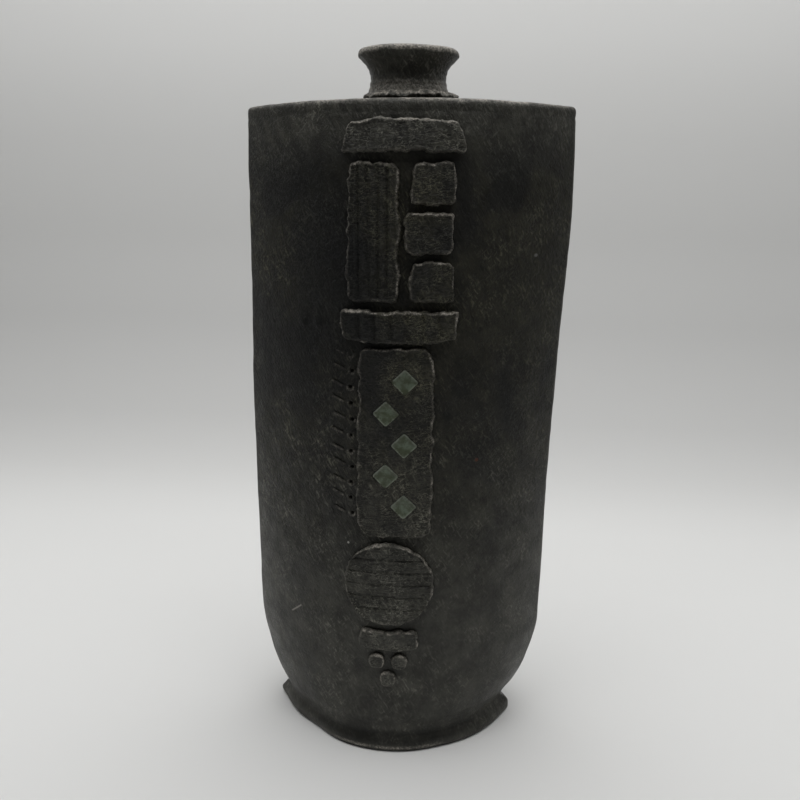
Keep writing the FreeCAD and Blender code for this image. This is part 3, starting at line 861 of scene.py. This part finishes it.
class Nodes:
    """Short calls for building a node tree."""

    def __init__(self, name):
        self.material = bpy.data.materials.new(name)
        self.material.use_nodes = True
        self.tree = self.material.node_tree
        self.tree.nodes.clear()

    def add(self, kind, inputs=None, **settings):
        made = self.tree.nodes.new(kind)
        for key, value in settings.items():
            setattr(made, key, value)
        for key, value in (inputs or {}).items():
            self.put(made.inputs[key], value)
        return made

    def put(self, socket, value):
        if isinstance(value, bpy.types.NodeSocket):
            self.tree.links.new(value, socket)
        else:
            socket.default_value = value

    def principled(self, inputs):
        """Ends the tree with a surface of these inputs."""
        surface = self.add("ShaderNodeBsdfPrincipled", inputs)
        self.add("ShaderNodeOutputMaterial", {"Surface": surface.outputs[0]})
        return self.material

    def mix(self, share, first, second, blend="MIX"):
        made = self.add("ShaderNodeMix", data_type="RGBA", blend_type=blend)
        self.put(made.inputs[0], share)
        self.put(made.inputs[6], first)
        self.put(made.inputs[7], second)
        return made.outputs[2]

    def math(self, operation, first, second=0.0, clamp=False):
        made = self.add("ShaderNodeMath", operation=operation, use_clamp=clamp)
        self.put(made.inputs[0], first)
        self.put(made.inputs[1], second)
        return made.outputs[0]

    def mul(self, first, second, clamp=False):
        return self.math("MULTIPLY", first, second, clamp)

    def plus(self, first, second, clamp=False):
        return self.math("ADD", first, second, clamp)

    def minus(self, first, second):
        return self.math("SUBTRACT", first, second)

    def ramp(self, value, low, high, out_low=0.0, out_high=1.0):
        """A value taken smoothly from one range to another."""
        made = self.add("ShaderNodeMapRange", interpolation_type="SMOOTHSTEP")
        for i, v in enumerate((value, low, high, out_low, out_high)):
            self.put(made.inputs[i], v)
        return made.outputs[0]

    def noise(self, where, scale, detail=3.0, roughness=0.55, stretch=(1, 1, 1), turn=(0, 0, 0)):
        """Noise over the object, with its scale in lumps per millimetre."""
        turned = self.add("ShaderNodeMapping", {"Vector": where, "Rotation": turn})
        scaled = self.add("ShaderNodeMapping", {"Vector": turned.outputs[0], "Scale": stretch})
        made = self.add("ShaderNodeTexNoise", {
            "Vector": scaled.outputs[0], "Scale": scale / MM, "Detail": detail, "Roughness": roughness,
        })
        return made.outputs[0]


# Marks at their own places on the front, as across, height, radius, colour and share
SPOTS = [
    (67.2, 259.8, 0.85, (0.20, 0.20, 0.19, 1), 0.6),
    (-14.5, 246.1, 0.55, (0.42, 0.41, 0.38, 1), 0.85),
    (-20.1, 117.6, 0.60, (0.46, 0.45, 0.42, 1), 0.9),
    (42.6, 161.5, 0.90, (0.10, 0.030, 0.016, 1), 0.8),
]
LONG_SCRATCH = [(-53.5, 68.9), (-46.9, 75.4)]


def times(n, colour, shade):
    """A colour made lighter or darker by a shade."""
    grey = n.add("ShaderNodeCombineXYZ", {0: shade, 1: shade, 2: shade}).outputs[0]
    return n.mix(1.0, colour, grey, "MULTIPLY")


def oval(n, x, z, middle, reach, sharp=2.0):
    """How far out from the middle of an oval on the front a point is, 1 at the outline."""
    across = n.math("DIVIDE", n.minus(x, middle[0] * MM), reach[0] * MM)
    up = n.math("DIVIDE", n.minus(z, middle[1] * MM), reach[1] * MM)
    return n.plus(n.math("POWER", across, sharp), n.math("POWER", up, 2.0))


def scrapes(n, where, strong):
    """Light and dark scrapes: most lie down to the right, some upright and some across them. In the
    colour the light ones are partly the clay's own paler streaks and partly painted glints on their
    ridges, and the dark ones are painted shade in their grooves.
    """
    down = n.noise(where, 1 / 0.95, 2.0, 0.5, stretch=(1.0, 0.4, 0.30), turn=(0, 0.54, 0))
    steep = n.noise(where, 1 / 0.8, 2.0, 0.5, stretch=(1.0, 0.4, 0.18), turn=(0, 0.14, 0))
    cross = n.noise(where, 1 / 0.9, 2.0, 0.5, stretch=(1.0, 0.4, 0.25), turn=(0, -0.70, 0))
    crowded = n.mul(n.ramp(n.noise(where, 1 / 20.0, 3.0, 0.62), 0.40, 0.64), 0.8)
    light = n.mul(n.ramp(down, 0.56, 0.68), n.plus(crowded, 0.2))
    light = n.plus(light, n.mul(n.ramp(steep, 0.60, 0.72), 0.3))
    light = n.plus(light, n.mul(n.ramp(cross, 0.58, 0.70), crowded), True)
    dark = n.math("MAXIMUM", n.ramp(down, 0.44, 0.34), n.mul(n.ramp(cross, 0.42, 0.33), 0.8))
    return n.mul(light, strong), n.mul(dark, strong)


def wrinkles(n, where, z, light, dark):
    """The patches are crazed with fine wrinkles, mostly level, over fainter scrapes. In the colour the
    pale wrinkle lines are painted glints.
    """
    folds = n.noise(where, 1 / 1.7, 3.0, 0.6, stretch=(0.55, 0.6, 1.25), turn=(0, 0.12, 0))
    folds = n.minus(folds, 0.5)
    fold = n.ramp(n.math("ABSOLUTE", folds), 0.030, 0.004)
    fold = n.mul(fold, n.ramp(z, 50 * MM, 150 * MM, 0.35, 0.9))
    fold = n.mul(fold, n.ramp(n.noise(where, 1 / 9.0, 3.0, 0.6), 0.40, 0.60, 0.15, 1.0))
    light = n.math("MAXIMUM", n.mul(light, 0.5), fold)
    dark = n.math("MAXIMUM", n.mul(dark, 0.5), n.ramp(folds, 0.02, 0.10, 0.0, 0.7))
    return light, dark


def marks(n, colour, x, z, front):
    """The spots and the long scratch on the front."""
    for at_x, at_z, radius, spot, share in SPOTS:
        near_x = n.math("POWER", n.minus(x, at_x * MM), 2.0)
        near_z = n.math("POWER", n.minus(z, at_z * MM), 2.0)
        away = n.math("SQRT", n.plus(near_x, near_z))
        on = n.mul(n.ramp(away, radius * 1.25 * MM, radius * 0.6 * MM), front)
        colour = n.mix(n.mul(on, share), colour, spot)
    (x0, z0), (x1, z1) = LONG_SCRATCH
    length = math.hypot(x1 - x0, z1 - z0)
    ux, uz = (x1 - x0) / length, (z1 - z0) / length
    middle_off = (z0 * ux - x0 * uz) * MM
    middle_along = ((x0 + x1) / 2 * ux + (z0 + z1) / 2 * uz) * MM
    off = n.math("ABSOLUTE", n.minus(n.plus(n.mul(x, -uz), n.mul(z, ux)), middle_off))
    along = n.math("ABSOLUTE", n.minus(n.plus(n.mul(x, ux), n.mul(z, uz)), middle_along))
    on = n.ramp(off, 0.55 * MM, 0.2 * MM)
    on = n.mul(on, n.ramp(along, length * 0.5 * MM, length * 0.4 * MM))
    return n.mix(n.mul(on, n.mul(front, 0.75)), colour, (0.30, 0.28, 0.25, 1))


def stoneware(name, lift=1.0, patch=False, thrown=False):
    """Dark, dry, brushed stoneware: brown-black mottling, short scrapes and pale edges, with painted
    light: a floor reflection low down, shade in the hollow above the foot, glints and groove shade on
    the scrapes, and highlights on upward-facing rims and edges.
    """
    n = Nodes(name)
    where = n.add("ShaderNodeTexCoord").outputs["Object"]
    x, y, z = n.add("ShaderNodeSeparateXYZ", {0: where}).outputs
    front = n.ramp(y, -2 * MM, -8 * MM)
    mottle = n.noise(where, 1 / 42.0, 3.0, 0.6)
    patches = n.noise(where, 1 / 12.0, 5.0, 0.68)
    broad = n.noise(where, 1 / 4.5, 4.0, 0.62, stretch=(1.0, 0.35, 0.28), turn=(0, 0.45, 0))
    grit = n.noise(where, 1 / 0.5, 2.0, 0.6)

    # the surface is calmer low down, at the right and near the top edge
    low_calm = n.ramp(z, 75 * MM, 165 * MM, 0.4, 1.0)
    calm = n.mul(n.ramp(x, 0.0, 34 * MM, 1.0, 0.5), low_calm)
    strong = 0.45
    if not thrown:
        strong = n.mul(low_calm, n.ramp(z, 270 * MM, 310 * MM, 1.0, 0.45))
        strong = n.mul(strong, n.ramp(x, 0.0, 34 * MM, 1.0, 0.6))
    light, dark = scrapes(n, where, strong)
    if patch:
        light, dark = wrinkles(n, where, z, light, dark)

    # brown and black, paler at the foot as a painted reflection of the pale floor, paler at the top
    # edge, darkest left of the relief
    brown = (0.0215 * lift, 0.0206 * lift, 0.0138 * lift, 1)
    black = (0.0080 * lift, 0.0080 * lift, 0.0066 * lift, 1)
    pale = (0.0560 * lift, 0.0550 * lift, 0.0460 * lift, 1)
    side = n.plus(n.ramp(x, -60 * MM, 70 * MM, -0.05, 0.06), mottle)
    colour = n.mix(n.ramp(side, 0.41, 0.58), black, brown)
    # painted reflection: the lower front is mixed towards pale, as if it mirrored the floor
    colour = n.mix(n.mul(n.ramp(z, 215 * MM, 60 * MM), 0.85), colour, pale)
    colour = n.mix(n.mul(n.ramp(z, 288 * MM, 328 * MM), 0.9), colour, pale)
    deep = n.mul(n.ramp(oval(n, x, z, (-27, 248), (26, 58)), 1.3, 0.1), front)
    colour = n.mix(n.mul(deep, 0.8), colour, (0.0014, 0.0018, 0.0018, 1))
    colour = times(n, colour, n.ramp(patches, 0.3, 0.7, 0.62, 1.40))
    colour = times(n, colour, n.plus(n.mul(n.ramp(broad, 0.34, 0.66, -0.28, 0.28), calm), 1.0))
    # pale scrape streaks: partly the clay's own paler streaks, partly painted glints on their ridges,
    # and on the patches painted glints along the wrinkles
    colour = times(n, colour, n.plus(n.mul(light, 6.5 if patch else 3.2), 0.85))
    # painted shade in the hollow above the foot rim, across the front
    painted_crease_shade = n.mul(n.ramp(oval(n, x, z, (4, 7.5), (46, 4.5), 4.0), 1.2, 0.1), front)
    colour = times(n, colour, n.minus(1.0, n.mul(painted_crease_shade, 0.6)))
    # darker scrape streaks: painted shade in their grooves
    colour = times(n, colour, n.minus(1.0, n.mul(dark, 0.55)))
    if not patch and not thrown:
        colour = marks(n, colour, x, z, front)

    # pale clay on the edges, broken up: rubbed through in places, and painted highlight on the foot rim,
    # the upper rims of the patches, the margin's burrs and ticks, the top edge and the lower neck
    pale_share = n.add("ShaderNodeAttribute", attribute_name="paleness").outputs["Fac"]
    broken = n.ramp(n.noise(where, 1 / 0.9, 3.0, 0.7), 0.42, 0.62)
    broken = n.plus(n.mul(broken, 1.6), 0.25)
    least = 0.6 if thrown else 0.15
    some = n.ramp(n.noise(where, 1 / 7.0, 3.0, 0.6), 0.36, 0.62, least, 1.0)
    pale_share = n.mul(pale_share, n.mul(some, broken), True)
    colour = n.mix(pale_share, colour, (0.330, 0.305, 0.265, 1))

    rough = n.ramp(n.noise(where, 1 / 9.0, 4.0, 0.6), 0.35, 0.65, 0.36, 0.50)
    rough = n.plus(rough, n.mul(light, 0.10))
    height = n.minus(n.mul(light, 0.55), n.mul(dark, 0.45))
    height = n.plus(height, n.mul(broad, 0.6))
    height = n.plus(height, n.mul(grit, 0.26))
    height = n.plus(height, n.mul(n.noise(where, 1 / 1.6, 4.0, 0.62), 0.5))
    height = n.mul(height, n.ramp(z, 60 * MM, 150 * MM, 0.45, 1.0))
    bump = n.add("ShaderNodeBump", {"Strength": 1.0, "Distance": 0.85 * MM, "Height": height})
    return n.principled({
        "Base Color": colour, "Roughness": rough, "Normal": bump.outputs[0],
        "Specular IOR Level": 0.24,
    })


def green_glaze():
    """Grey-green celadon pooled in the wells, paler at their rims and slightly crackled."""
    n = Nodes("green_glaze")
    where = n.add("ShaderNodeTexCoord").outputs["Object"]
    cloud = n.noise(where, 1 / 3.0, 4.0, 0.65)
    fleck = n.noise(where, 1 / 0.7, 3.0, 0.7)
    colour = n.mix(n.ramp(cloud, 0.38, 0.62), (0.056, 0.067, 0.036, 1), (0.118, 0.150, 0.104, 1))
    colour = n.mix(n.ramp(fleck, 0.52, 0.70, 0.0, 0.62), colour, (0.030, 0.036, 0.022, 1))
    rim = n.add("ShaderNodeAttribute", attribute_name="paleness").outputs["Fac"]
    colour = n.mix(n.mul(rim, n.ramp(cloud, 0.34, 0.55)), colour, (0.250, 0.272, 0.220, 1))
    bump = n.add("ShaderNodeBump", {"Strength": 0.35, "Distance": 0.2 * MM, "Height": fleck})
    return n.principled({"Base Color": colour, "Roughness": 0.38, "Normal": bump.outputs[0]})


# Stage, light and camera

FLOOR_FRONT = -560.0
FLOOR_BACK = 330.0
CURVE_R = 230.0
WALL_TOP = 1000.0
STAGE_HALF = 1100.0

# Painted shade on the paper by the length of the way over the floor and up the wall, from the front
# edge: the tones stand in for the light and shade on the sweep, darkest round the curve and low on the
# wall
PAPER_PAINTED_SHADE = [
    (0, 0.72), (700, 0.72), (810, 0.69), (1010, 0.54), (1140, 0.525), (1260, 0.645), (1370, 0.665),
    (1480, 0.75), (1800, 0.8),
]


def paper():
    n = Nodes("paper")
    shade = n.add("ShaderNodeAttribute", attribute_name="shade").outputs["Fac"]
    colour = n.mix(shade, (0.0, 0.0, 0.0, 1), (1.0, 1.0, 0.985, 1))
    return n.principled({"Base Color": colour, "Roughness": 0.85, "Specular IOR Level": 0.1})


def make_stage():
    """A pale paper sweep: floor, a wide curve behind the vase, and a wall."""
    profile = [(y, 0.0) for y in np.linspace(FLOOR_FRONT, FLOOR_BACK, 19)]
    for i in range(1, 25):
        turn = math.pi / 2 * i / 24
        profile.append((FLOOR_BACK + CURVE_R * math.sin(turn), CURVE_R * (1 - math.cos(turn))))
    profile += [(FLOOR_BACK + CURVE_R, z) for z in np.linspace(CURVE_R, WALL_TOP, 16)[1:]]
    profile = np.array(profile)
    way = np.concatenate([[0], np.cumsum(np.hypot(*np.diff(profile, axis=0).T))])
    # painted light and shade along the sweep
    painted_shades = np.interp(way, [p[0] for p in PAPER_PAINTED_SHADE], [p[1] for p in PAPER_PAINTED_SHADE])
    points = [(side * STAGE_HALF, y, z) for y, z in profile for side in (-1, 1)]
    faces = [(2 * i, 2 * i + 1, 2 * i + 3, 2 * i + 2) for i in range(len(profile) - 1)]
    mesh = bpy.data.meshes.new("sweep")
    mesh.from_pydata([tuple(float(v) * MM for v in p) for p in points], [], faces)
    for polygon in mesh.polygons:
        polygon.use_smooth = True
    shade = mesh.attributes.new("shade", "FLOAT", "POINT")
    shade.data.foreach_set("value", np.repeat(painted_shades, 2).astype(np.float32))
    mesh.materials.append(paper())
    sweep = new_object("sweep", mesh)


def area_light(name, place, target, size, power):
    data = bpy.data.lights.new(name, "AREA")
    data.shape = "RECTANGLE"
    data.size, data.size_y = size
    data.energy = power
    lamp = new_object(name, data)
    lamp.location = place
    direction = np.array(target) - np.array(place)
    tip = math.atan2(math.hypot(direction[0], direction[1]), -direction[2])
    lamp.rotation_euler = (tip, 0, math.atan2(direction[1], direction[0]) - math.pi / 2)


def make_lights():
    """A soft ceiling over a dim room, with some light from both sides, more from the left."""
    area_light("ceiling", (0.0, 0.0, 1.05), (0.0, 0.001, 0.0), (1.5, 1.0), 13.2)
    area_light("left", (-0.95, 0.10, 0.45), (0.0, 0.0, 0.15), (0.5, 0.7), 0.45)
    area_light("right", (0.95, 0.25, 0.45), (0.0, 0.0, 0.15), (0.5, 0.7), 0.35)
    world = bpy.data.worlds.new("room")
    world.use_nodes = True
    background = world.node_tree.nodes["Background"]
    background.inputs["Color"].default_value = (0.5, 0.5, 0.5, 1)
    background.inputs["Strength"].default_value = 0.14
    bpy.context.scene.world = world


def make_camera():
    """A phone held 0.4 m away and a little below the top of the vase, looking down at it."""
    azimuth = math.radians(4.9)
    pitch = math.radians(16.06)
    roll = math.radians(0.5)
    distance, eye_height, aside = 404.0, 298.0, 2.0
    right = np.array([math.cos(azimuth), math.sin(azimuth), 0.0])
    ahead = np.array([-math.sin(azimuth), math.cos(azimuth), 0.0])
    place = -ahead * distance + np.array([0, 0, eye_height]) + right * aside
    look = ahead * math.cos(pitch) + np.array([0, 0, -math.sin(pitch)])
    down = -ahead * math.sin(pitch) + np.array([0, 0, -math.cos(pitch)])
    local_x = right * math.cos(roll) - down * math.sin(roll)
    local_y = -(right * math.sin(roll) + down * math.cos(roll))
    data = bpy.data.cameras.new("camera")
    data.sensor_width = 36.0
    data.lens = 36.0
    camera = new_object("camera", data)
    matrix = np.eye(4)
    matrix[:3, 0], matrix[:3, 1], matrix[:3, 2], matrix[:3, 3] = local_x, local_y, -look, place * MM
    camera.matrix_world = Matrix(matrix.tolist())
    bpy.context.scene.camera = camera


def main():
    clay = stoneware("stoneware")
    patch_clay = stoneware("patch_stoneware", lift=1.1, patch=True)
    neck_clay = stoneware("neck_stoneware", lift=1.1, thrown=True)
    strip_top = upper_patches(patch_clay)
    strip_foot = lower_patches(patch_clay)
    left, right, foot, top = margin_box(strip_foot, strip_top)
    make_body(clay, (left + MARGIN_LAP, right - MARGIN_LAP, foot + MARGIN_LAP, top - MARGIN_LAP))
    make_neck(neck_clay)
    make_skirt(neck_clay)
    make_strip(strip_foot, strip_top, patch_clay)
    make_margin(strip_foot, strip_top, clay)
    glaze = green_glaze()
    for i, well in enumerate(well_places(strip_foot, strip_top)):
        make_glaze(i, well, glaze)
    make_stage()
    make_lights()
    make_camera()


main()
bpy.context.scene.view_settings.view_transform = "Standard"
